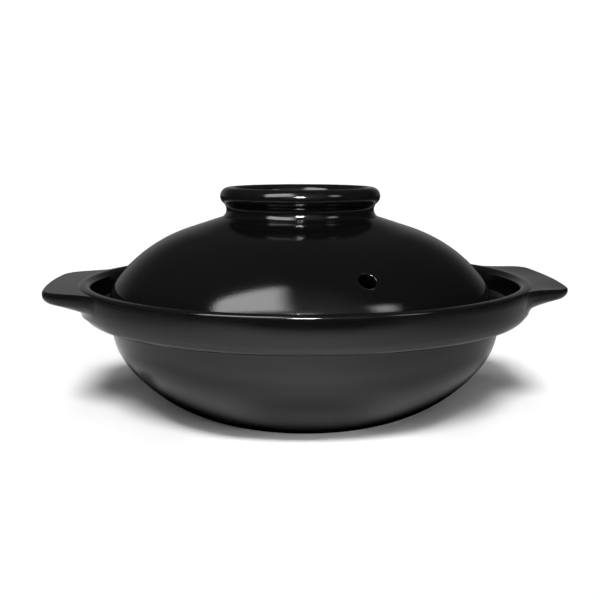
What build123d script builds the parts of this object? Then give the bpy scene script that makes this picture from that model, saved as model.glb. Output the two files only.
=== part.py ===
from build123d import *
import math
import os

# Donabe: a glazed clay pot with two lug handles and a domed lid with a ring knob.
# Lengths are millimetres, angles are degrees from level, and +Z is up.

# Bowl wall, from the flat foot upward
foot_radius = 54.2
heel_angle = 11.1
lower_wall_curve = 93.5
belly_angle = 52.8
upper_wall_curve = 39.7
wall_angle = 78.6
wall_run = 8.4
wall_thickness = 8.0
floor_thickness = 8.5

# Collar: the step under it, its flat shelf, the bowed upright side and the rolled lip
step_fillet = 1.5
shelf_angle = 7.5
shelf_run = 8.1
shelf_curve = 8.5
collar_foot_angle = 73.4
collar_curve = 42.2
lip_radius = 3.8

# Gallery inside the collar, where the lid stands
shelf_thickness = 5.0
gallery_curve = 5.0
gallery_wall_angle = 82.0
seat_edge_round = 1.2

# Lid dome
lid_side_clearance = 6.9
lid_rest_shift = 2.9
lid_thickness = 7.0
lid_edge_height = 3.9
lid_foot_round = 1.0
shoulder_curve = 23.1
shoulder_angle = 51.2
dome_curve = 90.75
brow_angle = 18.25

# Steam hole, placed by the dome's slope and by its bearing from +X
steam_hole_radius = 4.7
steam_hole_angle = 42.8
steam_hole_bearing = -74.2
steam_hole_round = 0.7

# Ring knob: a waisted neck below a rolled bead
knob_neck_radius = 45.3
knob_neck_curve = 5.3
knob_foot_angle = 30.0
knob_flare_angle = 40.6
knob_bead_radius = 5.4

# Lug handles
handle_reach = 18.9
handle_top_drop = 1.1
handle_width = 106.0
handle_edge_curve = 300.0
handle_corner_radius = 19.5
handle_side_angle = 24.6
handle_root_curve = 16.7
handle_root_angle = 45.0
handle_edge_thickness = 6.1
handle_top_round = 1.4
handle_under_round = 4.8
handle_under_angle = 17.5
handle_under_fillet = 5.0

# How far cutting bodies run past what they cut, and how near counts as touching
overrun = 12.0
closeness = 0.01

level = 0.0
half_turn = math.degrees(math.pi)
upright, full_turn = half_turn / 2, 2 * half_turn


def sine(degrees):
    return math.sin(math.radians(degrees))


def cosine(degrees):
    return math.cos(math.radians(degrees))


# An outline walked point by point. It knows its place, its heading in degrees and its edges.
class Outline:
    def __init__(self, across, up, heading=level):
        self.across, self.up, self.heading = across, up, heading
        self.edges = []

    def vector(self, across, up):
        return Vector(across, 0, up)

    def line_to(self, across, up):
        self.edges.append(Edge.make_line(self.vector(self.across, self.up), self.vector(across, up)))
        self.across, self.up = across, up
        return self

    def straight(self, run):
        return self.line_to(self.across + run * cosine(self.heading), self.up + run * sine(self.heading))

    def point_on_turn(self, radius, side, heading):
        return (self.across + side * radius * (sine(heading) - sine(self.heading)),
                self.up - side * radius * (cosine(heading) - cosine(self.heading)))

    def curve(self, radius, heading):
        side = math.copysign(1, heading - self.heading)
        middle = self.point_on_turn(radius, side, (self.heading + heading) / 2)
        end = self.point_on_turn(radius, side, heading)
        self.edges.append(Edge.make_three_point_arc(
            self.vector(self.across, self.up), self.vector(*middle), self.vector(*end)))
        self.across, self.up = end
        self.heading = heading
        return self

    def turn_to(self, heading):
        self.heading = heading
        return self

    def place(self):
        return self.across, self.up


# An outline seen from above instead of from the side
class PlanOutline(Outline):
    def vector(self, across, up):
        return Vector(across, up, 0)


def revolved(edges):
    return Solid.revolve(Face(Wire(edges)), full_turn, Axis.Z)


# Outside of the bowl, from the centre of the foot to the crest of the lip
outside = Outline(0, 0).line_to(foot_radius, 0)
outside.turn_to(heel_angle).curve(lower_wall_curve, belly_angle).curve(upper_wall_curve, wall_angle)
upper_turn_across = outside.across - upper_wall_curve * sine(wall_angle)
upper_turn_up = outside.up + upper_wall_curve * cosine(wall_angle)
outside.straight(wall_run).curve(step_fillet, shelf_angle).straight(shelf_run)
ledge_up = outside.up + shelf_thickness
outside.curve(shelf_curve, collar_foot_angle).curve(collar_curve, upright)
rim_radius = outside.across
outside.curve(lip_radius, half_turn)
crest_across, crest_up = outside.place()

# Down the inside of the collar to the flat gallery
inside = Outline(crest_across, crest_up, half_turn).curve(lip_radius, half_turn + gallery_wall_angle)
gallery_drop = gallery_curve * (1 - cosine(gallery_wall_angle))
inside.straight((inside.up - ledge_up - gallery_drop) / sine(gallery_wall_angle))
inside.curve(gallery_curve, half_turn)
gallery_radius = inside.across

# Over the edge of the seat, down the wall and onto the floor
mouth_radius = upper_turn_across + upper_wall_curve - wall_thickness
inside.line_to(mouth_radius + seat_edge_round, ledge_up)
inside.curve(seat_edge_round, half_turn + upright)
inside.line_to(mouth_radius, upper_turn_up)
inside.curve(upper_wall_curve - wall_thickness, half_turn + belly_angle)
inside.curve((inside.up - floor_thickness) / (1 - cosine(belly_angle)), half_turn)
inside.line_to(0, floor_thickness).line_to(0, 0)

pot_bowl = revolved(outside.edges + inside.edges)

# The same bowl without its hollow, to shape what is luted onto it
filled_bowl = revolved(outside.edges + Outline(*outside.place()).line_to(0, crest_up).line_to(0, 0).edges)

# The lid stands on the gallery
lid_radius = gallery_radius - lid_side_clearance
knob_foot_radius = knob_neck_radius + knob_neck_curve * (1 - sine(half_turn - knob_foot_angle))


# One skin of the dome from its foot to the axis, set in by the given depth
def dome_skin(depth):
    skin = Outline(lid_radius - depth, ledge_up, upright).straight(lid_edge_height)
    skin.curve(shoulder_curve - depth, half_turn - shoulder_angle)
    dome_turn = (skin.across - (dome_curve - depth) * sine(skin.heading),
                 skin.up + (dome_curve - depth) * cosine(skin.heading))
    skin.curve(dome_curve - depth, half_turn - brow_angle)
    brow_run = (skin.across + depth * sine(brow_angle) - knob_foot_radius) / cosine(brow_angle)
    skin.straight(brow_run)
    brow_end = skin.place()
    skin.curve(skin.across / sine(brow_angle), half_turn)
    return skin, dome_turn, brow_end


outer_skin, dome_turn, brow_end = dome_skin(0)
inner_skin = dome_skin(lid_thickness)[0]
dome_edges = outer_skin.edges + inner_skin.edges
dome_edges += Outline(0, outer_skin.up).line_to(0, inner_skin.up).edges
dome_edges += Outline(lid_radius - lid_thickness, ledge_up).line_to(lid_radius, ledge_up).edges
lid_dome = revolved(dome_edges)
lid_dome = fillet(lid_dome.edges().group_by(Axis.Z)[0], lid_foot_round)

# Steam hole, drilled square to the dome
hole_heading = half_turn - steam_hole_angle
hole_across = dome_turn[0] + dome_curve * sine(hole_heading)
hole_up = dome_turn[1] - dome_curve * cosine(hole_heading)
hole_length = lid_thickness + 2 * overrun
hole = Cylinder(steam_hole_radius, hole_length)
hole = Pos(hole_across, 0, hole_up) * Rot(0, steam_hole_angle, 0) * hole
hole = Rot(0, 0, steam_hole_bearing) * hole
lid_dome = lid_dome - hole
round_faces = lid_dome.faces().filter_by(GeomType.CYLINDER)
bore = min(round_faces, key=lambda face: abs(face.radius - steam_hole_radius))
lid_dome = fillet(bore.edges().filter_by(GeomType.LINE, reverse=True), steam_hole_round)

# Ring knob, standing on the crown of the dome
ring = Outline(*brow_end, half_turn - knob_foot_angle)
ring.curve(knob_neck_curve, upright).curve(knob_neck_curve, knob_flare_angle)
ring.curve(knob_bead_radius, upright).curve(knob_bead_radius, half_turn)
ring.curve(knob_bead_radius, half_turn + upright)
crown_curve = brow_end[0] / sine(brow_angle)
crown_turn_up = outer_skin.up - crown_curve


def crown_height(across):
    return crown_turn_up + math.sqrt(crown_curve ** 2 - across ** 2)


knob_bore_radius = ring.across
ring.line_to(knob_bore_radius, crown_height(knob_bore_radius))
seat_middle = (knob_bore_radius + brow_end[0]) / 2
ring.edges.append(Edge.make_three_point_arc(
    Vector(knob_bore_radius, 0, crown_height(knob_bore_radius)),
    Vector(seat_middle, 0, crown_height(seat_middle)),
    Vector(brow_end[0], 0, brow_end[1])))
lid_knob_ring = revolved(ring.edges)

# Half of a lug's plan: outer edge, corner, flared side and the bend where it meets the rim
tip_radius = rim_radius + handle_reach
corner_across = handle_width / 2 - handle_corner_radius
corner_out = tip_radius - handle_edge_curve + math.sqrt(
    (handle_edge_curve - handle_corner_radius) ** 2 - corner_across ** 2)
edge_swing = math.degrees(math.asin(corner_across / (handle_edge_curve - handle_corner_radius)))
side_distance = (corner_out * sine(handle_side_angle) + corner_across * cosine(handle_side_angle)
                 + handle_corner_radius)
bend_along = math.sqrt((rim_radius + handle_root_curve) ** 2 - (side_distance + handle_root_curve) ** 2)
plan = PlanOutline(tip_radius, 0, upright)
plan.curve(handle_edge_curve, upright + edge_swing)
plan.curve(handle_corner_radius, half_turn - handle_side_angle)
side_run = plan.across * cosine(handle_side_angle) - plan.up * sine(handle_side_angle) - bend_along
plan.straight(side_run).curve(handle_root_curve, half_turn - handle_root_angle)
plan.straight(overrun)
outer_edge_count = len(plan.edges)
root_out = plan.across
plan.line_to(root_out, 0).line_to(tip_radius, 0)

# The lug's block is flat on top and follows a rising cone below
handle_top = crest_up - handle_top_drop
under_up = handle_top - handle_edge_thickness
half_block = extrude(Pos(0, 0, handle_top) * Face(Wire(plan.edges)), -handle_top)
block = half_block + mirror(half_block, Plane.XZ)

# Underside: collar side, hollow fillet, then the cone out past the tip
fillet_half_turn = (gallery_wall_angle - handle_under_angle) / 2
rim_meet_up = under_up - handle_reach * sine(handle_under_angle) / cosine(handle_under_angle)
fillet_reach = handle_under_fillet * sine(fillet_half_turn) / cosine(fillet_half_turn)
under = Outline(rim_radius + fillet_reach * cosine(handle_under_angle),
                rim_meet_up + fillet_reach * sine(handle_under_angle), half_turn + handle_under_angle)
under_start = under.place()
under.curve(handle_under_fillet, half_turn + gallery_wall_angle)
under_low = under.up
under_edges = under.edges + Outline(*under.place()).line_to(0, under_low).line_to(0, -overrun).edges
far_across = tip_radius + overrun
far_up = under_up + overrun * sine(handle_under_angle) / cosine(handle_under_angle)
under_edges += Outline(0, -overrun).line_to(far_across, -overrun).line_to(far_across, far_up).edges
under_edges += Outline(far_across, far_up).line_to(*under_start).edges
lug = block - revolved(under_edges)

# The lug is softened all round, along the top and bottom edges of its outer side
side_line = plan.edges[:outer_edge_count]
half_edge_up = handle_top - handle_edge_thickness / 2


def side_edges(body, low, high):
    chosen = []
    for edge in body.edges():
        middle, run = edge @ (1 / 2), edge @ 1 - edge @ 0
        above_side = Vertex(middle.X, abs(middle.Y), 0)
        on_side = min(line.distance_to(above_side) for line in side_line) < closeness
        if on_side and low < middle.Z < high and math.hypot(run.X, run.Y) > closeness:
            chosen.append(edge)
    return chosen


lug = fillet(side_edges(lug, half_edge_up, crest_up), handle_top_round)
lug = fillet(side_edges(lug, under_low + closeness, half_edge_up), handle_under_round)
right_handle = lug - filled_bowl
left_handle = mirror(right_handle, Plane.YZ)

# The lid rests a little to the left of the bowl's middle
lid_dome = Pos(-lid_rest_shift, 0, 0) * lid_dome
lid_knob_ring = Pos(-lid_rest_shift, 0, 0) * lid_knob_ring

nodes = {
    "pot_bowl": pot_bowl,
    "left_handle": left_handle,
    "right_handle": right_handle,
    "lid_dome": lid_dome,
    "lid_knob_ring": lid_knob_ring,
}
os.makedirs("parts", exist_ok=True)
for name, shape in nodes.items():
    export_step(shape, f"parts/{name}.step")
    box = shape.bounding_box()
    print(name, len(shape.solids()), "solid", round(shape.volume), box.min, box.max)
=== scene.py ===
import bpy
import bmesh
import numpy as np
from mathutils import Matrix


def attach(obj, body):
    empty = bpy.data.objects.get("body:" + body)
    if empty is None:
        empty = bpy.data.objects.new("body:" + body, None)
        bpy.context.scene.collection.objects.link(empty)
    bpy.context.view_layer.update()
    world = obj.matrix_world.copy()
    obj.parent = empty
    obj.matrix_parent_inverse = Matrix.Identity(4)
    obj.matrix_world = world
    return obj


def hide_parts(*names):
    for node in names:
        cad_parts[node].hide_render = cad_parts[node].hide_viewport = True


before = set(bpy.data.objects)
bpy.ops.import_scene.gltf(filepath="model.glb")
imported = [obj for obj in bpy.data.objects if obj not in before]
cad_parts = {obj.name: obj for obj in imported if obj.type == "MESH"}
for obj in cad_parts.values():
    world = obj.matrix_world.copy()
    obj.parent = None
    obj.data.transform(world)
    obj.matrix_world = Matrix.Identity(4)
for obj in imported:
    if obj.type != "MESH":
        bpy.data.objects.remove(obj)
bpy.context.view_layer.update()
mm = 0.001
print("frame loaded with nodes", sorted(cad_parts))


# Shared shape tools: profiles, grids and meshes
def sine(degrees):
    return np.sin(np.radians(degrees))


def cosine(degrees):
    return np.cos(np.radians(degrees))


# Walks a profile in mm. A move is ("line", length), ("arc", radius, new heading) or ("to", r, z).
# Along an arc the heading h changes evenly from its first value h0, and the points are
# start + side * radius * (sin h - sin h0, cos h0 - cos h), with side 1 for a left turn and -1 for a right.
def walkProfile(start, heading, moves, step=1.5, turnStep=4.0):
    here, runs = np.array(start, float), [np.array([start], float)]
    for move in moves:
        if move[0] == "arc":
            radius, turn = move[1], move[2] - heading
            count = int(np.ceil(max(3, abs(turn) / turnStep, radius * np.radians(abs(turn)) / step)))
            headings = heading + turn * np.linspace(0, 1, count + 1)[1:]
            bent = np.stack([sine(headings) - sine(heading), cosine(heading) - cosine(headings)], 1)
            run = here + np.sign(turn) * radius * bent
            heading = move[2]
        else:
            ahead = np.array([cosine(heading), sine(heading)])
            goal = np.array(move[1:], float) if move[0] == "to" else here + move[1] * ahead
            count = int(max(1, np.ceil(np.linalg.norm(goal - here) / step)))
            run = here + (goal - here) * np.linspace(0, 1, count + 1)[1:, None]
        runs.append(run)
        here = run[-1].copy()
    return np.concatenate(runs)


# Distance run along a profile up to each of its points, in mm
def runLength(profile):
    return np.concatenate([[0], np.cumsum(np.linalg.norm(np.diff(profile, axis=0), axis=1))])


# How sharply a profile bulges outward at each point: its turn per mm times `tight` mm, smoothed over seven
# points and kept between 0 and 1
def bulge(profile, tight, outward=1.0):
    along = runLength(profile)
    direction = np.gradient(profile, axis=0)
    heading = np.unwrap(np.arctan2(direction[:, 1], direction[:, 0]))
    turn = np.gradient(heading) / np.maximum(np.gradient(along), 1e-6) * outward * tight
    weights = np.array([1, 3, 5, 6, 5, 3, 1]) / 24
    return np.clip(np.convolve(np.pad(turn, 3, mode="edge"), weights, mode="valid"), 0, 1)


# A profile turned round the upright axis: x = shift + r cos a, y = r sin a, z = z
def turned(profile, angles, shift=0.0):
    r, z = profile[:, 0, None], profile[:, 1, None]
    return np.stack([shift + r * np.cos(angles), r * np.sin(angles), z + 0 * angles], -1)


# Quads of a grid of points kept row by row, whose columns close into a ring. `skip` marks the cells that are
# left out, and wrapRows closes the rows into a ring too.
def gridFaces(rows, columns, skip=None, wrapRows=False):
    i, j = np.meshgrid(np.arange(rows if wrapRows else rows - 1), np.arange(columns), indexing="ij")
    thisRow, nextRow, nextColumn = i * columns, (i + 1) % rows * columns, (j + 1) % columns
    quads = np.stack([thisRow + j, thisRow + nextColumn, nextRow + nextColumn, nextRow + j], -1)
    keep = np.ones(quads.shape[:2], bool) if skip is None else ~skip
    return quads[keep].tolist()


# Makes a mesh object from points in mm, faces and marks. Points that coincide are joined, so that seams and
# poles close.
def makePiece(name, points, faces, marks, body, nodes, material):
    mesh = bpy.data.meshes.new(name)
    mesh.from_pydata((points * mm).tolist(), [], faces)
    for markName, values in marks.items():
        mark = mesh.attributes.new(markName, "FLOAT", "POINT")
        mark.data.foreach_set("value", np.asarray(values, np.float32))
    work = bmesh.new()
    work.from_mesh(mesh)
    bmesh.ops.remove_doubles(work, verts=work.verts, dist=2e-6)
    bmesh.ops.recalc_face_normals(work, faces=work.faces)
    work.to_mesh(mesh)
    work.free()
    mesh.polygons.foreach_set("use_smooth", np.ones(len(mesh.polygons), bool))
    piece = bpy.data.objects.new(name, mesh)
    bpy.context.collection.objects.link(piece)
    mesh.materials.append(material)
    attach(piece, body)
    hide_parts(*nodes)
    print(f"{name}: {len(mesh.vertices)} points, {len(mesh.polygons)} faces")
    return piece


# Shared node tools for materials, lights and the room
def addNode(tree, kind, place, **settings):
    node = tree.nodes.new(kind)
    node.location = place
    for key, value in settings.items():
        setattr(node, key, value)
    return node


# Gives a socket a number or a colour, or links another node's output to it
def feed(tree, socket, value):
    if isinstance(value, bpy.types.NodeSocket):
        tree.links.new(value, socket)
    else:
        socket.default_value = value


# Sum, product and so on of the values
def reckon(tree, kind, place, *values):
    node = addNode(tree, "ShaderNodeMath", place, operation=kind)
    for socket, value in zip(node.inputs, values):
        feed(tree, socket, value)
    return node.outputs[0]


# Carries a value from one range to another, with soft ends or evenly; limits are low, high, new low, new high
def carry(tree, value, limits, place, soft=True):
    node = addNode(tree, "ShaderNodeMapRange", place, interpolation_type="SMOOTHSTEP" if soft else "LINEAR")
    for field, number in zip(("From Min", "From Max", "To Min", "To Max"), limits):
        node.inputs[field].default_value = number
    feed(tree, node.inputs["Value"], value)
    return node.outputs[0]


# Passes from `first` to `second` as the factor goes from 0 to 1
def mixNumbers(tree, factor, first, second, place):
    node = addNode(tree, "ShaderNodeMix", place, data_type="FLOAT")
    for key, value in (("Factor", factor), (2, first), (3, second)):
        feed(tree, node.inputs[key], value)
    return node.outputs[0]


# Glaze and clay. A noise is its scale, detail and roughness, and its range is the part of it that is used.
glaze = {
    "blackTone": (0.0020, 0.0020, 0.0020, 1), "ironTone": (0.0052, 0.0046, 0.0042, 1),
    "clayTone": (0.36, 0.27, 0.19, 1), "clayDark": (0.20, 0.135, 0.09, 1), "grainNoise": (900, 4, 0.7),
    "roughness": (0.08, 0.13), "satinNoise": (26, 5, 0.6), "clayRoughness": 0.85, "ior": 1.5,
    "evenRange": (0.3, 0.7), "seedTurn": (1, 0.37, 0.71),
    # the line where the glaze stops, in mm: how far it wanders, how soft it is and the brown halo beside it
    "lineNoise": (38, 3, 0.55), "lineWander": 0.7, "lineSoftness": 0.25,
    "haloRun": (0.2, 2.6), "haloShare": 0.8,
    # brown in faint clouds, and where the glaze runs thin on a rounding, most at a radius of thinRadius mm
    "cloudNoise": (14, 4, 0.6), "cloudRange": (0.42, 0.80), "cloudShare": 0.20,
    "thinNoise": (90, 3, 0.6), "thinRange": (0.3, 0.75), "thinShare": (0.10, 0.75), "thinRadius": 3.2,
    # heights in metres
    "rippleNoise": (22, 1, 0.4), "rippleHeight": 0.00022, "peelNoise": (1000, 2, 0.5), "peelHeight": 0.000024,
    "clayNoise": (1500, 4, 0.7), "clayHeight": 0.00012,
    "allGlazed": 9.0,  # the mark of a point well past any line where the glaze stops, in mm
}


# Black glaze over clay. The mark glazeEdge is the distance in mm past the line where the glaze stops,
# and thinEdge is 1 where the glaze runs thin on a sharp rounding.
def glazedClay(name, seed):
    material = bpy.data.materials.new(name)
    material.use_nodes = True
    tree = material.node_tree
    tree.nodes.clear()
    link = tree.links.new
    out = addNode(tree, "ShaderNodeOutputMaterial", (1500, 0))
    shader = addNode(tree, "ShaderNodeBsdfPrincipled", (1200, 0))
    link(shader.outputs[0], out.inputs[0])
    place = addNode(tree, "ShaderNodeTexCoord", (-1400, 0))
    moved = addNode(tree, "ShaderNodeMapping", (-1200, 0))
    moved.inputs["Location"].default_value = np.multiply(seed, glaze["seedTurn"])
    link(place.outputs["Object"], moved.inputs[0])

    def noise(noiseName, spot):
        node = addNode(tree, "ShaderNodeTexNoise", spot)
        for field, number in zip(("Scale", "Detail", "Roughness"), glaze[noiseName]):
            node.inputs[field].default_value = number
        link(moved.outputs[0], node.inputs["Vector"])
        return node.outputs["Fac"]

    def blend(factor, first, second, spot):
        node = addNode(tree, "ShaderNodeMix", spot, data_type="RGBA")
        colours = [socket for socket in node.inputs if socket.type == "RGBA"]
        for socket, value in zip([node.inputs["Factor"]] + colours, (factor, first, second)):
            feed(tree, socket, value)
        return [socket for socket in node.outputs if socket.type == "RGBA"][0]

    def bump(height, metres, strength, under, spot):
        node = addNode(tree, "ShaderNodeBump", spot)
        node.inputs["Distance"].default_value = metres
        feed(tree, node.inputs["Strength"], strength)
        link(height, node.inputs["Height"])
        if under is not None:
            link(under, node.inputs["Normal"])
        return node.outputs[0]

    def mark(markName, spot):
        return addNode(tree, "ShaderNodeAttribute", spot, attribute_name=markName).outputs["Fac"]

    # where the glaze stops, with a slightly wavy line
    even, wave, softness = glaze["evenRange"], glaze["lineWander"], glaze["lineSoftness"]
    wander = carry(tree, noise("lineNoise", (-1000, 500)), (*even, -wave, wave), (-800, 500), soft=False)
    past = reckon(tree, "ADD", (-600, 600), mark("glazeEdge", (-1000, 700)), wander)
    glazed = carry(tree, past, (-softness, softness, 0, 1), (-400, 600))
    halo = carry(tree, past, (*glaze["haloRun"], 1, 0), (-400, 420))

    # glaze colour: black, a little browner where it thins and in faint clouds
    cloudLimits = (*glaze["cloudRange"], 0, glaze["cloudShare"])
    cloud = carry(tree, noise("cloudNoise", (-1000, 200)), cloudLimits, (-800, 200))
    thinLimits = (*glaze["thinRange"], *glaze["thinShare"])
    patchy = carry(tree, noise("thinNoise", (-1000, -120)), thinLimits, (-800, -120), soft=False)
    thin = reckon(tree, "MULTIPLY", (-600, 0), mark("thinEdge", (-1000, 0)), patchy)
    iron = reckon(tree, "ADD", (-400, 100), cloud, thin)
    brown = reckon(tree, "MULTIPLY", (-220, 420), halo, glaze["haloShare"])
    iron = reckon(tree, "MAXIMUM", (-200, 100), iron, brown)
    glazeColour = blend(iron, glaze["blackTone"], glaze["ironTone"], (0, 100))
    grain = carry(tree, noise("grainNoise", (-1000, -320)), (*even, 0, 1), (-800, -320), soft=False)
    clayColour = blend(grain, glaze["clayTone"], glaze["clayDark"], (0, -200))
    link(blend(glazed, clayColour, glazeColour, (400, 100)), shader.inputs["Base Color"])

    # gloss: satin, a little uneven, and dry on bare clay
    satinLimits = (*even, *glaze["roughness"])
    satin = carry(tree, noise("satinNoise", (-1000, -560)), satinLimits, (-800, -560), soft=False)
    link(mixNumbers(tree, glazed, glaze["clayRoughness"], satin, (400, -300)), shader.inputs["Roughness"])
    shader.inputs["IOR"].default_value = glaze["ior"]

    # surface: slow hand-made ripple and fine orange peel in the glaze, and grain on the bare clay
    ripple = bump(noise("rippleNoise", (-1000, -800)), glaze["rippleHeight"], 1.0, None, (500, -700))
    peel = bump(noise("peelNoise", (-1000, -1000)), glaze["peelHeight"], 1.0, ripple, (700, -700))
    bare = reckon(tree, "SUBTRACT", (500, -500), 1.0, glazed)
    dry = bump(noise("clayNoise", (-1000, -1200)), glaze["clayHeight"], bare, peel, (900, -700))
    link(dry, shader.inputs["Normal"])
    return material


potGlaze = glazedClay("potBlackGlaze", 0.31)
lidGlaze = glazedClay("lidBlackGlaze", 1.93)
print("materials made")


# The bowl, in mm, with slopes in degrees above the level
bowl = {
    "footRadius": 54.2, "heelSlope": 11.1, "lowerCurve": 93.5, "bellySlope": 52.8, "upperCurve": 39.7,
    "wallSlope": 78.6, "wallRun": 8.4, "wallThickness": 8.0, "floorThickness": 8.5,
    "stepFillet": 1.5, "shelfSlope": 7.5, "shelfRun": 8.1, "shelfCurve": 8.5, "shelfThickness": 5.0,
    "collarFoot": 73.4, "collarCurve": 42.2, "lipRadius": 3.8, "lipEdge": 1.8, "lipEdgeTurn": 78.0,
    "galleryCurve": 5.0, "galleryWall": 82.0, "seatRound": 1.2,
    "bareFoot": 52.0,  # radius of the bare clay under the foot
    "bareSeat": (1.5, 113.5),  # the seat's bare clay starts this far from the mouth and ends at this radius
    "seatWithin": (0.6, 124.0),  # the seat is what lies this near to the ledge's height, inside this radius
    "turns": 280,
}


# Outside of the bowl from the axis to the crest, then inside from the crest to the axis, and the sizes that
# the other pieces need
def bowlProfile(b):
    heel = (b["footRadius"], 0)
    belly = [("arc", b["lowerCurve"], b["bellySlope"]), ("arc", b["upperCurve"], b["wallSlope"])]
    upTo = walkProfile(heel, b["heelSlope"], belly)[-1]
    turnAt = upTo + b["upperCurve"] * np.array([-sine(b["wallSlope"]), cosine(b["wallSlope"])])
    step = [("line", b["wallRun"]), ("arc", b["stepFillet"], b["shelfSlope"])]
    shelf = belly + step + [("line", b["shelfRun"])]
    ledge = walkProfile(heel, b["heelSlope"], shelf)[-1][1] + b["shelfThickness"]

    # the lip: a tight outer edge and a slightly domed crown together rise and reach in by the lip radius
    edgeUp, edgeIn = sine(b["lipEdgeTurn"]), cosine(b["lipEdgeTurn"])
    crown = (b["lipRadius"] - b["lipEdge"] * (1 - edgeIn)) / edgeIn
    upright = b["lipRadius"] - b["lipEdge"] * edgeUp - crown * (1 - edgeUp)
    lip = [("line", upright), ("arc", b["lipEdge"], 90.0 + b["lipEdgeTurn"]), ("arc", crown, 180.0)]
    collar = shelf + [("arc", b["shelfCurve"], b["collarFoot"]), ("arc", b["collarCurve"], 90.0)] + lip
    foot = walkProfile((0, 0), 0, [("to", b["footRadius"], 0)])
    outside = np.concatenate([foot, walkProfile(heel, b["heelSlope"], collar)[1:]])
    crest = outside[-1]

    # the inside: lip, gallery, seat, mouth, and a wall that runs level with the outside's upper curve
    lipInside = [("arc", b["lipRadius"], 180 + b["galleryWall"])]
    lipEnd = walkProfile(crest, 180.0, lipInside)[-1][1]
    drop = (lipEnd - ledge - b["galleryCurve"] * (1 - cosine(b["galleryWall"]))) / sine(b["galleryWall"])
    mouth = turnAt[0] + b["upperCurve"] - b["wallThickness"]
    wallIn = b["upperCurve"] - b["wallThickness"]
    bellyIn = turnAt + wallIn * np.array([sine(b["bellySlope"]), -cosine(b["bellySlope"])])
    floorCurve = (bellyIn[1] - b["floorThickness"]) / (1 - cosine(b["bellySlope"]))
    inside = walkProfile(crest, 180.0, lipInside + [
        ("line", drop), ("arc", b["galleryCurve"], 180.0), ("to", mouth + b["seatRound"], ledge),
        ("arc", b["seatRound"], 270.0), ("to", mouth, turnAt[1]), ("arc", wallIn, 180 + b["bellySlope"]),
        ("arc", floorCurve, 180.0), ("to", 0, b["floorThickness"])])
    edgeCentre = crest + np.array([b["lipRadius"] - b["lipEdge"], upright - b["lipRadius"]])
    return outside, inside, {"ledge": ledge, "mouth": mouth, "crest": crest, "edgeCentre": edgeCentre}


outsideWall, insideWall, bowlSizes = bowlProfile(bowl)
potProfile = np.concatenate([outsideWall, insideWall[1:]])
potRadius, potUp = potProfile.T
potAngles = np.linspace(0, 2 * np.pi, bowl["turns"], endpoint=False)
onFoot = np.isclose(potUp, 0)
onSeat = (abs(potUp - bowlSizes["ledge"]) < bowl["seatWithin"][0]) & (potRadius < bowl["seatWithin"][1])
footEdge = potRadius - bowl["bareFoot"]
seatEdge = np.maximum(potRadius - bowl["bareSeat"][1], bowlSizes["mouth"] + bowl["bareSeat"][0] - potRadius)
potEdge = np.select([onSeat, onFoot], [seatEdge, footEdge], glaze["allGlazed"])
potThin = bulge(potProfile, glaze["thinRadius"])
potMarks = {"glazeEdge": np.repeat(potEdge, bowl["turns"]), "thinEdge": np.repeat(potThin, bowl["turns"])}
potBowl = makePiece("potBowl", turned(potProfile, potAngles).reshape(-1, 3),
                    gridFaces(len(potProfile), bowl["turns"]), potMarks, "pot", ["pot_bowl"], potGlaze)


# The lug handles, in mm and degrees
lug = {
    "reach": 18.9, "width": 106.0, "edgeCurve": 300.0, "cornerRadius": 19.5, "sideFlare": 24.6,
    "rootCurve": 28.0, "topDrop": 1.1, "ridgeFillet": 1.2, "edgeThickness": 6.1, "topRound": 1.4,
    "underRound": 4.8, "underSlope": 17.5, "underFillet": 6.0, "collarInset": 0.9,
    "leanRight": 0.024, "leanLeft": 0.0,  # rise of the top per mm towards the back
    "bury": 0.06, "buryRun": 0.5, "buryFade": 40.0,  # how deep it is sunk in the bowl, and how soon less
    "backIn": 3.2, "backDown": 4.5,  # where its section closes inside the bowl's wall
    "wallFrom": 60.0,  # height from which the bowl's outside is read
    "endsPast": 0.004,  # angle by which the grid runs past the plan's ends, in radians
    "columns": 280,
}
rimRadius = potRadius.max()


# Plan of a lug, as its share of full reach at each bearing, and the bearing where it ends. The plan is an
# edge arc, a corner arc, a flared side and a hollow root arc that touches the rim.
def lugReach(g, bearings):
    tip = rimRadius + g["reach"]
    across = g["width"] / 2 - g["cornerRadius"]
    out = tip - g["edgeCurve"] + np.sqrt((g["edgeCurve"] - g["cornerRadius"]) ** 2 - across ** 2)
    swing = np.degrees(np.arcsin(across / (g["edgeCurve"] - g["cornerRadius"])))
    moves = [("arc", g["edgeCurve"], 90 + swing), ("arc", g["cornerRadius"], 180 - g["sideFlare"])]
    corner = walkProfile((tip, 0), 90.0, moves)[-1]
    # centre of the root arc, measured square to the side and along it
    sideAway = out * sine(g["sideFlare"]) + across * cosine(g["sideFlare"]) + g["cornerRadius"]
    rootAside = sideAway + g["rootCurve"]
    rootAlong = np.sqrt((rimRadius + g["rootCurve"]) ** 2 - rootAside ** 2)
    sideRun = corner[0] * cosine(g["sideFlare"]) - corner[1] * sine(g["sideFlare"]) - rootAlong
    rootBearing = np.degrees(np.arctan2(rootAside, rootAlong)) - g["sideFlare"]
    moves += [("line", sideRun), ("arc", g["rootCurve"], 90 + rootBearing)]
    x, y = walkProfile((tip, 0), 90.0, moves, step=0.5, turnStep=1.0).T
    planBearing = np.arctan2(y, x)
    reach = np.interp(abs(bearings), planBearing, np.hypot(x, y), right=rimRadius) - rimRadius
    return np.maximum(reach, 0) / g["reach"], planBearing[-1]


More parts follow.
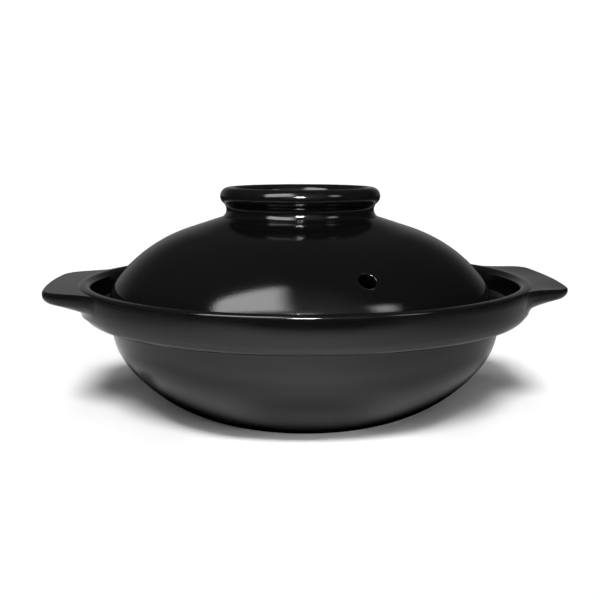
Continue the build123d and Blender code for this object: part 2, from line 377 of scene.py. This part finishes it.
# Section through the middle of a lug: out from the lip, over the edge, back under and down into the collar
def lugSection(g):
    lipCentre, lipEdge = bowlSizes["edgeCentre"], bowl["lipEdge"]
    top = bowlSizes["crest"][1] - g["topDrop"] + g["ridgeFillet"]
    leave = np.degrees(np.arccos((top - lipCentre[1]) / (lipEdge + g["ridgeFillet"])))
    start = lipCentre + lipEdge * np.array([sine(leave), cosine(leave)])
    tip = rimRadius + g["reach"]
    moves = [("arc", g["ridgeFillet"], 0.0)]
    topUp = walkProfile(start, -leave, moves)[-1][1]
    # the lower rounding touches the upright edge and the underside's slope
    lowRun = g["underRound"] * np.tan(np.radians((90 - g["underSlope"]) / 2))
    moves += [("to", tip - g["topRound"], topUp), ("arc", g["topRound"], -90.0),
              ("to", tip, topUp - g["edgeThickness"] + lowRun),
              ("arc", g["underRound"], g["underSlope"] - 180)]
    lowest = walkProfile(start, -leave, moves)[-1]
    filletRun = g["underFillet"] * np.tan(np.radians((bowl["galleryWall"] - g["underSlope"]) / 2))
    underRun = (lowest[0] - (rimRadius - g["collarInset"])) / cosine(g["underSlope"]) - filletRun
    moves += [("line", underRun), ("arc", g["underFillet"], bowl["galleryWall"] - 180)]
    return walkProfile(start, -leave, moves, step=0.8, turnStep=5.0)


# A lug. At each bearing the section's stand-off from the bowl's own outside is scaled by the plan's share of
# full reach, r = outer(z) + (section r - outer(z)) * share, so it grows out of the collar and lip without a
# corner. Its top may lean: it rises by `lean` per mm towards the back, from nothing at the lip and below.
def makeLug(name, node, side, lean):
    section = lugSection(lug)
    sectionUp, columns = section[:, 1], lug["columns"]
    rising = outsideWall[outsideWall[:, 1] > lug["wallFrom"]]
    outer = np.interp(sectionUp, rising[:, 1], rising[:, 0])
    standOff = np.maximum(section[:, 0] - outer, 0)
    lastBearing = lugReach(lug, np.zeros(1))[1] + lug["endsPast"]
    bearings = np.linspace(-1, 1, columns) * lastBearing
    reachShare = lugReach(lug, bearings)[0]
    sunkAtBowl = lug["bury"] * (1 - np.clip(standOff / lug["buryRun"], 0, 1))
    sunkAtEnds = lug["bury"] * np.exp(-lug["buryFade"] * reachShare)
    radius = outer[:, None] + standOff[:, None] * reachShare - sunkAtBowl[:, None] - sunkAtEnds
    height = np.repeat(section[:, 1:2], columns, 1)
    # two more points inside the wall close the section
    insideR, insideUp = outer[[-1, 0]] - lug["backIn"], sectionUp[[-1, 0]] - (0, lug["backDown"])
    radius = np.concatenate([radius, np.repeat(insideR[:, None], columns, 1)])
    height = np.concatenate([height, np.repeat(insideUp[:, None], columns, 1)])
    x, y = side * radius * np.cos(bearings), radius * np.sin(bearings)
    upShare = np.clip((sectionUp - sectionUp.max() + lug["edgeThickness"]) / lug["edgeThickness"], 0, 1)
    outShare = np.clip(standOff / lug["reach"], 0, 1)
    height[:len(section)] += lean * y[:len(section)] * (upShare * outShare)[:, None] * reachShare ** 2
    points = np.stack([x, y, height], -1).transpose(1, 0, 2)  # one closed loop of the section per bearing
    loops, around = points.shape[:2]
    ends = [list(range(around)), list(range((loops - 1) * around, loops * around))]
    thin = np.concatenate([bulge(section, glaze["thinRadius"], -1.0), [0, 0]])
    faces = gridFaces(loops, around) + ends
    marks = {"glazeEdge": np.full(loops * around, glaze["allGlazed"]), "thinEdge": np.tile(thin, loops)}
    return makePiece(name, points.reshape(-1, 3), faces, marks, "pot", [node], potGlaze)


rightHandle = makeLug("rightHandle", "right_handle", 1, lug["leanRight"])
leftHandle = makeLug("leftHandle", "left_handle", -1, lug["leanLeft"])


# The lid's dome, in mm and degrees
dome = {
    "sideClearance": 6.9, "restShift": -2.9, "thickness": 7.0, "edgeHeight": 3.9, "footRound": 1.0,
    "shoulderCurve": 23.1, "shoulderSlope": 51.2, "domeCurve": 90.75, "browSlope": 18.25,
    "holeRadius": 4.7, "holeSlope": 42.8, "holeBearing": -74.2, "holeRound": 0.9, "holeThin": 0.15,
    "bareOutside": 0.9, "bareInside": 0.7,  # height of the bare clay above the lid's foot
    # the grid: cells on each side of the hole that give way to rings, rings in the block, on the hole's edge
    # and in its bore, and the steps in mm and degrees round the foot
    "blockColumns": 5, "blockRows": 6, "blockRings": 5, "roundRings": 6, "boreRings": 3,
    "footSteps": (0.3, 12), "turns": 360,
}
# The ring knob: neck arc from the dome, flare, rolled bead, straight bore and hollow fillet onto the crown
knob = {
    "neckRadius": 45.3, "neckCurve": 5.3, "footSlope": 30.0, "flareSlope": 40.6, "beadRadius": 5.4,
    "innerFillet": 3.0, "crownHeading": 194.0, "thinRadius": 4.0,
    # how it is let into the dome: depth at the neck and at the hidden foot, width of that foot, and the points
    # under it, as shifts from the fillet's end, the bore on the crown, the seat and the foot
    "neckBury": 0.03, "footBury": 0.12, "footWidth": 2.2,
    "hidden": ((-1.0, -0.9), (2.0, -3.4), (-1.5, -2.6), (0.0, -0.8)), "turns": 320,
}
galleryRadius = insideWall[np.isclose(insideWall[:, 1], bowlSizes["ledge"]), 0].max()
lidRadius = galleryRadius - dome["sideClearance"]
knobFoot = knob["neckRadius"] + knob["neckCurve"] * (1 - sine(180 - knob["footSlope"]))
shoulder = [("line", dome["edgeHeight"]), ("arc", dome["shoulderCurve"], 180 - dome["shoulderSlope"])]


# One skin of the dome set in by `depth`, from its foot up to the axis, and the point where the knob sits
def domeSkin(d, depth):
    start = (lidRadius - depth, bowlSizes["ledge"])
    moves = [("line", d["edgeHeight"]), ("arc", d["shoulderCurve"] - depth, 180 - d["shoulderSlope"]),
             ("arc", d["domeCurve"] - depth, 180 - d["browSlope"])]
    above = walkProfile(start, 90.0, moves)[-1]
    browRun = (above[0] + depth * sine(d["browSlope"]) - knobFoot) / cosine(d["browSlope"])
    moves.append(("line", browRun))
    atKnob = walkProfile(start, 90.0, moves)[-1]
    moves.append(("arc", atKnob[0] / sine(d["browSlope"]), 180.0))
    skin = walkProfile(start, 90.0, moves)
    skin[-1, 0] = 0
    return skin, atKnob


# The dome's profile in three runs: outer skin down from the axis, foot with both edges as quarter rounds, and
# inner skin up to the axis
def domeProfile(d):
    outer, atKnob = domeSkin(d, 0)
    inner, _ = domeSkin(d, d["thickness"])
    ledge, ring = bowlSizes["ledge"], d["footRound"]
    foot = walkProfile((lidRadius, ledge + ring), 270.0, [("arc", ring, 180.0)], *d["footSteps"])
    heelFrom = (lidRadius - d["thickness"] + ring, ledge)
    heel = walkProfile(heelFrom, 180.0, [("arc", ring, 90.0)], *d["footSteps"])
    flat = walkProfile(foot[-1], 180.0, [("to", *heel[0])], step=1.0)[1:-1]
    return outer[:0:-1], np.concatenate([foot, flat, heel]), inner[1:], atKnob


outerSkin, footRing, innerSkin, knobSeat = domeProfile(dome)
lidProfile = np.concatenate([outerSkin, footRing, innerSkin])


# Pierces a turned solid. In a block of cells round the hole on each skin the grid gives way to rings of
# points that pass evenly from the block's border to a circle, round its edge and down the bore to the circle
# on the other skin.
def piercedDome(d):
    along = runLength(lidProfile)
    columns, rows, half = d["turns"], len(lidProfile), d["blockColumns"]
    bearing = np.radians(d["holeBearing"])
    angles = bearing + 2 * np.pi * (np.arange(columns) - half) / columns
    points = turned(lidProfile, angles, d["restShift"])
    shoulderTop = walkProfile((lidRadius, bowlSizes["ledge"]), 90.0, shoulder)[-1]
    shoulderLean = np.array([sine(d["shoulderSlope"]), cosine(d["shoulderSlope"])])
    domeCentre = shoulderTop - d["domeCurve"] * shoulderLean
    lean = np.array([sine(d["holeSlope"]), cosine(d["holeSlope"])])
    outAt, inAt = domeCentre + d["domeCurve"] * lean, domeCentre + (d["domeCurve"] - d["thickness"]) * lean
    normal = np.array([lean[0] * np.cos(bearing), lean[0] * np.sin(bearing), lean[1]])
    sideways = np.array([-np.sin(bearing), np.cos(bearing), 0])
    downhill = np.cross(sideways, normal)  # the profile runs from the axis down to the foot

    # the point of the turned profile at a run along it and at an angle
    def surface(run, angle):
        r, z = np.interp(run, along, lidProfile[:, 0]), np.interp(run, along, lidProfile[:, 1])
        return np.stack([d["restShift"] + r * np.cos(angle), r * np.sin(angle), z], -1)

    skip = np.zeros((rows - 1, columns), bool)
    rings, borders = [], []
    for middle, outward in ((outAt, 1), (inAt, -1)):
        nearest = np.argmin(np.linalg.norm(lidProfile - middle, axis=1))
        low, high = nearest - d["blockRows"], nearest + d["blockRows"]
        skip[low:high, :2 * half] = True
        # once round the block as rows and columns of the grid: top, right, bottom and left
        c, r = np.arange(2 * half), np.arange(low, high)
        borderRow = np.concatenate([low + 0 * c, r, high + 0 * c, r[::-1] + 1])
        borderColumn = np.concatenate([c, 2 * half + 0 * r, c[::-1] + 1, 0 * r])
        if outward < 0:  # the inner skin's rows run the other way, so its border is read upside down to match
            borderRow = low + high - borderRow
        borderRun, borderAngle = along[borderRow], angles[borderColumn]
        slope = lidProfile[nearest + 1] - lidProfile[nearest - 1]
        homeRun = along[nearest] + np.dot(middle - lidProfile[nearest], slope / np.linalg.norm(slope))
        turn = np.arctan2((borderRun - homeRun) * outward, (borderAngle - bearing) * middle[0])
        wide = d["holeRadius"] + d["holeRound"]
        circleRun = homeRun + outward * wide * np.sin(turn)
        circleAngle = bearing + wide * np.cos(turn) / middle[0]
        runOn, angleOn = circleRun - borderRun, circleAngle - borderAngle
        steps = [surface(borderRun + runOn * t, borderAngle + angleOn * t)
                 for t in np.linspace(0, 1, d["blockRings"] + 1)[1:]]
        r, z = middle
        holeAt = np.array([d["restShift"] + r * np.cos(bearing), r * np.sin(bearing), z])
        towards = np.cos(turn)[:, None] * sideways + np.sin(turn)[:, None] * downhill
        for bend in np.linspace(0, 90, d["roundRings"] + 1)[1:]:
            across = d["holeRadius"] + d["holeRound"] * (1 - sine(bend))
            steps.append(holeAt + across * towards - outward * d["holeRound"] * (1 - cosine(bend)) * normal)
        rings.append(steps)
        borders.append(borderRow * columns + borderColumn)
    outerEdge, innerEdge = rings[0][-1], rings[1][-1]
    bore = [outerEdge + (innerEdge - outerEdge) * t for t in np.linspace(0, 1, d["boreRings"] + 2)[1:-1]]
    layers = rings[0] + bore + rings[1][::-1]
    count = len(borders[0])
    allPoints = np.concatenate([points.reshape(-1, 3)] + layers)
    newIds = rows * columns + np.arange(len(layers) * count).reshape(-1, count)
    ids = np.concatenate([[borders[0]], newIds, [borders[1]]])
    onward = np.roll(ids, -1, axis=1)
    patch = np.stack([ids[:-1], ids[1:], onward[1:], onward[:-1]], -1).reshape(-1, 4).tolist()
    return allPoints, gridFaces(rows, columns, skip) + patch, len(layers) * count


lidPoints, lidFaces, holePoints = piercedDome(dome)
bareUp = np.where(np.arange(len(lidProfile)) < len(outerSkin), dome["bareOutside"], dome["bareInside"])
lidEdge = np.minimum(lidProfile[:, 1] - bowlSizes["ledge"] - bareUp, glaze["allGlazed"])
lidThin = bulge(lidProfile, glaze["thinRadius"], -1.0)
lidMarks = {
    "glazeEdge": np.concatenate([np.repeat(lidEdge, dome["turns"]), np.full(holePoints, glaze["allGlazed"])]),
    "thinEdge": np.concatenate([np.repeat(lidThin, dome["turns"]), np.full(holePoints, dome["holeThin"])]),
}
lidDome = makePiece("lidDome", lidPoints, lidFaces, lidMarks, "lid", ["lid_dome"], lidGlaze)


# Profile of the ring knob, once round: hidden foot, neck, flare, bead, bore, fillet and hidden points below
def knobProfile(k):
    brow = dome["browSlope"]
    crownCurve = knobSeat[0] / sine(brow)
    crownTop = knobSeat[1] + crownCurve * (1 - cosine(brow))
    start = knobSeat + k["footWidth"] * np.array([cosine(brow), -sine(brow)]) - (0, k["footBury"])
    moves = [("arc", k["neckCurve"], 90.0), ("arc", k["neckCurve"], k["flareSlope"]),
             ("arc", k["beadRadius"], 90.0), ("arc", k["beadRadius"], 270.0)]
    rise = walkProfile(knobSeat - (0, k["neckBury"]), 180 - k["footSlope"], moves, step=0.6, turnStep=5)
    bore = rise[-1]
    crownAt = crownTop - crownCurve + np.sqrt(crownCurve ** 2 - (bore[0] - k["innerFillet"]) ** 2)
    fall = walkProfile(bore, 270.0, [("to", bore[0], crownAt + k["innerFillet"]),
                                     ("arc", k["innerFillet"], k["crownHeading"])], step=1.0, turnStep=8)[1:]
    under = np.array([fall[-1], (bore[0], crownAt), knobSeat, start]) + k["hidden"]
    return np.concatenate([[start], rise, fall, under])


knobRing = knobProfile(knob)
knobAngles = np.linspace(0, 2 * np.pi, knob["turns"], endpoint=False)
knobThin = bulge(knobRing, knob["thinRadius"])
lidKnobRing = makePiece("lidKnobRing", turned(knobRing, knobAngles, dome["restShift"]).reshape(-1, 3),
                        gridFaces(len(knobRing), knob["turns"], wrapRows=True),
                        {"glazeEdge": np.full(len(knobRing) * knob["turns"], glaze["allGlazed"]),
                         "thinEdge": np.repeat(knobThin, knob["turns"])},
                        "lid", ["lid_knob_ring"], lidGlaze)


# Floor, light and camera, in metres and degrees; the camera's own distances are in mm
studio = {
    "floorTone": (0.86, 0.86, 0.86), "floorSize": 40.0, "floorRoughness": 0.9,
    # painted shade and light that the glaze mirrors of the floor: centre, stretch, then near and far distance,
    # and share near and far
    "underPot": ((0, 0, 0), (0.7, 0.92, 1), (0.062, 0.088, 0.0, 1.0)),  # no light under the belly
    "apron": ((0, 0, 0), (0.7, 1, 1), (0.115, 0.16, 0.57, 1.0)),  # the pot's own shade round it
    "behindPot": ((0, 0.06, 0), (1, 1, 1), (0.118, 0.146, 0.15, 1.0)),  # the deep shade at its back
    "spotPool": ((-0.003, -0.090, 0), (0.5, 1, 1), (0.010, 0.034, 0.45, 1.0)),  # painted shade over the spots' pool
    "leftShade": ((-0.122, 0.0, 0), (1, 0.6, 1), (0.006, 0.022, 0.35, 1.0)),  # the shade under the left lug
    "litPool": ((-0.04, -0.15, 0), (1, 0.3, 1), (0.0, 0.36, 1.0, 0.25)),  # painted pool of light, brightest in front
    "cameraSpot": ((0, -0.5, 0), (0.6, 1, 1), (0.10, 0.28, 0.05, 1.0)),  # painted reflection of the camera, dark where it stands
    "farFloor": ((0, 0, 0), (1, 1, 1), (0.40, 0.65, 1.0, 0.1)),  # painted dimming of the floor far out, past the lights
    # soft boxes: place, turns, size, radiance and the share of the half size over which the light fades
    "softBoxLeft": ((-0.434, -0.369, 0.836), (66, -3, 0), (0.74, 0.86), 6.8, 0.40),
    "softBoxFront": ((-0.085, -1.06, 0.69), (58, 0, -4), (0.23, 0.16), 240.0, 0.3),
    "softBoxRight": ((0.766, -0.627, 0.837), (54, 24, 55), (0.47, 0.61), 4.8, 0.9),
    # broad light on the floor: power, width, bearing and height
    "keyLight": (3.9, 15.0, -7.1, 43.0), "fillLight": (1.55, 37.0, 0.4, 27.0),
    "topLight": (0.5, 24.5, -2.5, 67.9),
    # two soft spots on the floor just before the foot: power, aim, distance, height, half width and half
    # depth of the lit pool, and the size of the lamp
    "footSpot": (30.0, (0.0, -0.084, 0.0), 0.8, 35.5, 0.075, 0.030, 0.02),
    "heelSpot": (75.0, (0.0, -0.066, 0.0), 0.8, 18.0, 0.070, 0.035, 0.04),
    # the room: what the camera sees, then the glaze's and the floor's share, each as the limits of a direction
    # and the light between them
    "backdrop": 1.05, "roomUp": (0.0, 0.9, 0.025, 0.062), "lowBand": (0.0, 0.5, 1, 0),
    "roomBehind": (0.55, 0.97, 0, 0.20), "roomRight": (0.2, 0.8, 1, 0.5), "backFill": (0.0, 0.8, 0, 0.06),
    "glowBearing": 0.0, "glowHeight": 40.0, "frontGlow": (0.68, 1.0, 0, 0.28),
    "cameraTurn": -4.24, "cameraHeight": 9.0856, "cameraDistance": 600.0, "aimUp": 69.45, "aimAside": -3.0,
    "focal": 57.6, "sensor": 36,
}


# Painted shade and light on the floor, seen only in the glaze: the share of the floor's tone that the glaze
# mirrors at each place, the product of soft oval patches, each going from its near share to its far share with
# the distance from its centre in stretched coordinates
def paintedFloorShade(tree, patches):
    where = addNode(tree, "ShaderNodeTexCoord", (-1600, 0))
    product = None
    for row, patchName in enumerate(patches):
        middle, stretch, limits = studio[patchName]
        scaled = addNode(tree, "ShaderNodeVectorMath", (-1400, -200 * row), operation="MULTIPLY")
        tree.links.new(where.outputs["Object"], scaled.inputs[0])
        scaled.inputs[1].default_value = stretch
        howFar = addNode(tree, "ShaderNodeVectorMath", (-1200, -200 * row), operation="DISTANCE")
        tree.links.new(scaled.outputs[0], howFar.inputs[0])
        howFar.inputs[1].default_value = np.multiply(middle, stretch)
        patch = carry(tree, howFar.outputs["Value"], limits, (-1000, -200 * row))
        product = patch if product is None else reckon(tree, "MULTIPLY", (-800, -200 * row), product, patch)
    return product


floorMesh = bpy.data.meshes.new("studioFloor")
half = studio["floorSize"] / 2
floorCorners = [(-half, -half, 0), (half, -half, 0), (half, half, 0), (-half, half, 0)]
floorMesh.from_pydata(floorCorners, [], [(0, 1, 2, 3)])
floor = bpy.data.objects.new("studioFloor", floorMesh)
bpy.context.collection.objects.link(floor)
floorPaint = bpy.data.materials.new("paleFloor")
floorPaint.use_nodes = True
paint = floorPaint.node_tree
floorShader = paint.nodes["Principled BSDF"]
floorShader.inputs["Roughness"].default_value = studio["floorRoughness"]
floorShader.inputs["Specular IOR Level"].default_value = 0.0
paintedShadeShare = paintedFloorShade(paint, ("underPot", "apron", "behindPot", "spotPool", "leftShade", "litPool",
                                      "cameraSpot", "farFloor"))
# only glossy rays see the painted shade and light; all other rays see the floor's even tone
floorRays = addNode(paint, "ShaderNodeLightPath", (-800, -300))
shownShare = mixNumbers(paint, floorRays.outputs["Is Glossy Ray"], 1.0, paintedShadeShare, (-600, 0))
floorColour = addNode(paint, "ShaderNodeVectorMath", (-400, 0), operation="SCALE")
floorColour.inputs[0].default_value = studio["floorTone"]
paint.links.new(shownShare, floorColour.inputs["Scale"])
paint.links.new(floorColour.outputs[0], floorShader.inputs["Base Color"])
floorMesh.materials.append(floorPaint)


# A soft box seen only as a reflection in the glaze: a glowing rectangle whose light fades over `soft` of its
# half size
def softBox(name, place, turns, size, radiance, soft):
    light = bpy.data.lights.new(name, "AREA")
    light.shape = "RECTANGLE"
    light.size, light.size_y = size
    light.energy = radiance * np.pi * size[0] * size[1]
    light.use_nodes = True
    tree = light.node_tree
    onBox = addNode(tree, "ShaderNodeNewGeometry", (-1200, 0))
    parts = addNode(tree, "ShaderNodeSeparateXYZ", (-1000, 0))
    tree.links.new(onBox.outputs["Parametric"], parts.inputs[0])
    fades = []
    for row, axis in enumerate("XY"):
        fromMiddle = reckon(tree, "SUBTRACT", (-800, -200 * row), parts.outputs[axis], 0.5)
        aside = reckon(tree, "ABSOLUTE", (-600, -200 * row), fromMiddle)
        fades.append(carry(tree, aside, (0.5 - soft / 2, 0.5, 1, 0), (-400, -200 * row)))
    tree.links.new(reckon(tree, "MULTIPLY", (-200, 0), *fades), tree.nodes["Emission"].inputs["Strength"])
    box = bpy.data.objects.new(name, light)
    box.location = place
    box.rotation_euler = np.radians(turns)
    box.visible_diffuse = False
    bpy.context.collection.objects.link(box)


# A broad light on the floor only; the glaze shows the soft boxes instead
def floorLight(name, power, angle, bearing, height):
    light = bpy.data.lights.new(name, "SUN")
    light.energy = power
    light.angle = np.radians(angle)
    lamp = bpy.data.objects.new(name, light)
    lamp.rotation_euler = (np.radians(90 - height), 0, np.radians(bearing))
    lamp.visible_glossy = False
    bpy.context.collection.objects.link(lamp)


# A soft spot reaching in under the bowl's overhang; its cone is oval, so that its pool lies along the foot
def floorSpot(name, power, aim, distance, height, poolWidth, poolDepth, size):
    light = bpy.data.lights.new(name, "SPOT")
    light.energy = power
    light.spot_size = 2 * np.arctan(poolWidth / distance)
    light.spot_blend = 1.0
    light.shadow_soft_size = size
    lamp = bpy.data.objects.new(name, light)
    lamp.location = np.array(aim) + distance * np.array([0, -cosine(height), sine(height)])
    lamp.rotation_euler = (np.radians(90 - height), 0, 0)
    lamp.scale = (1, poolDepth * sine(height) / poolWidth, 1)
    lamp.visible_glossy = False
    bpy.context.collection.objects.link(lamp)


for hang, lightNames in ((softBox, ("softBoxLeft", "softBoxFront", "softBoxRight")),
                         (floorLight, ("keyLight", "fillLight", "topLight")),
                         (floorSpot, ("footSpot", "heelSpot"))):
    for lightName in lightNames:
        hang(lightName, *studio[lightName])

# The room. The camera sees it white behind the pot. The glaze sees it dim, lighter overhead, low down behind
# and in a glow round the front light, and dimmer to the right. The floor gets a faint light from behind,
# which keeps the shadow behind the pot from going black.
world = bpy.data.worlds.new("studioRoom")
bpy.context.scene.world = world
world.use_nodes = True
room = world.node_tree
room.nodes.clear()
roomOut = addNode(room, "ShaderNodeOutputWorld", (900, 0))
roomLight = addNode(room, "ShaderNodeBackground", (700, 0))
room.links.new(roomLight.outputs[0], roomOut.inputs[0])
roomWay = addNode(room, "ShaderNodeTexCoord", (-800, 0)).outputs["Generated"]
ways = addNode(room, "ShaderNodeSeparateXYZ", (-600, 0))
room.links.new(roomWay, ways.inputs[0])
roomRays = addNode(room, "ShaderNodeLightPath", (-200, -300)).outputs
glowWay = addNode(room, "ShaderNodeVectorMath", (-600, 500), operation="DOT_PRODUCT")
room.links.new(roomWay, glowWay.inputs[0])
glowAround, glowUp = studio["glowBearing"], studio["glowHeight"]
glowWay.inputs[1].default_value = (sine(glowAround) * cosine(glowUp), -cosine(glowAround) * cosine(glowUp),
                                   sine(glowUp))

overhead = carry(room, ways.outputs["Z"], studio["roomUp"], (-400, 300))
glow = carry(room, glowWay.outputs["Value"], studio["frontGlow"], (-400, 500))
lowBand = carry(room, ways.outputs["Z"], studio["lowBand"], (-400, 0))
behind = carry(room, ways.outputs["Y"], studio["roomBehind"], (-400, -250))
rightward = carry(room, ways.outputs["X"], studio["roomRight"], (-400, -500))
fromBehind = carry(room, ways.outputs["Y"], studio["backFill"], (-400, -750))
mirrored = reckon(room, "ADD", (-200, 400), overhead, glow)
mirrored = reckon(room, "ADD", (0, 0), mirrored, reckon(room, "MULTIPLY", (-200, 0), lowBand, behind))
mirrored = reckon(room, "MULTIPLY", (150, 0), mirrored, rightward)
mirrored = reckon(room, "MULTIPLY", (250, 0), mirrored, roomRays["Is Glossy Ray"])
fromBehind = reckon(room, "MULTIPLY", (150, -300), fromBehind, roomRays["Is Diffuse Ray"])
roomTone = reckon(room, "ADD", (350, 0), mirrored, fromBehind)
roomTone = mixNumbers(room, roomRays["Is Camera Ray"], roomTone, studio["backdrop"], (450, 0))
room.links.new(roomTone, roomLight.inputs["Color"])

cameraData = bpy.data.cameras.new("camera")
cameraData.lens = studio["focal"]
cameraData.sensor_width = studio["sensor"]
cameraData.clip_start, cameraData.clip_end = 0.01, 100
camera = bpy.data.objects.new("camera", cameraData)
turn, tilt = studio["cameraTurn"], studio["cameraHeight"]
aimPoint = np.array([cosine(turn) * studio["aimAside"], sine(turn) * studio["aimAside"], studio["aimUp"]])
toCamera = np.array([sine(turn) * cosine(tilt), -cosine(turn) * cosine(tilt), sine(tilt)])
camera.location = (aimPoint + toCamera * studio["cameraDistance"]) * mm
camera.rotation_euler = (np.radians(90 - tilt), 0, np.radians(turn))
bpy.context.collection.objects.link(camera)
bpy.context.scene.camera = camera
bpy.context.scene.view_settings.view_transform = "Standard"
print("floor, lights and camera placed")
